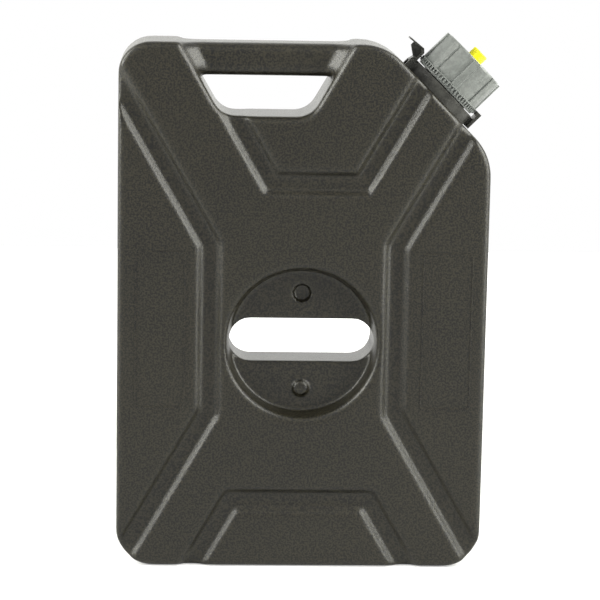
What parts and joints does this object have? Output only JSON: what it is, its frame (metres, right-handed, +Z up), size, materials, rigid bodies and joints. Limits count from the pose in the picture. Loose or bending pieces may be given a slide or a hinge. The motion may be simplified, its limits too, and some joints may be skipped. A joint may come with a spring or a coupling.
{
  "type": "fuel can",
  "caption": "Flat upright fuel can with a moulded top handle, angular stiffening grooves, a round dish with a through slot, and an angled screw cap with a lock lever and vent button.",
  "frame": {"origin": "centre of the tank's footprint on the ground, midway between the front and back faces", "axes": "+X along the wide face towards the filler neck, +Y from the front face to the back face, +Z up"},
  "size_m": [0.2866, 0.067, 0.4076],
  "materials": {
    "tank_black": "satin moulded polyethylene with a fine grain",
    "fitting_black": "satin moulded plastic",
    "cap_grey": "satin moulded plastic",
    "button_yellow": "smooth moulded plastic",
    "stem_white": "natural acetal",
    "seal_rubber": "fuel-proof rubber",
    "spring_steel": "bare spring wire"
  },
  "bodies": {
    "can": {"tank": "tank_black", "lock_collar": "fitting_black"},
    "lever": {"lock_lever": "fitting_black"},
    "riser": {"cap_gasket": "seal_rubber"},
    "cap": {"inner_cap": "cap_grey", "cap_shell": "cap_grey", "valve_spring": "spring_steel"},
    "vent": {"vent_button": "button_yellow", "valve_stem": "stem_white", "valve_seal": "seal_rubber"}
  },
  "joints": [
    {"name": "lever_pivot", "type": "hinge", "parent": "can", "child": "lever", "pos_m": [0.07941, 0, 0.38503], "axis": [0, -1, 0], "range_deg": [-1.5, 12]},
    {"name": "cap_rise", "type": "slide", "parent": "can", "child": "riser", "axis": [0.7071, 0, 0.7071], "range_m": [0, 0.006]},
    {"name": "cap_turn", "type": "hinge", "parent": "riser", "child": "cap", "pos_m": [0.11314, 0, 0.37364], "axis": [0.7071, 0, 0.7071], "range_deg": [0, 540]},
    {"name": "vent_press", "type": "slide", "parent": "cap", "child": "vent", "axis": [-0.7071, 0, -0.7071], "range_m": [0, 0.0025], "stiffness_N_per_m": 800, "springref_m": -0.004, "deforming": ["valve_spring"]}
  ],
  "couplings": [
    {"joint": "cap_turn", "follows": "cap_rise", "rad_per_m": 1570.8}
  ]
}
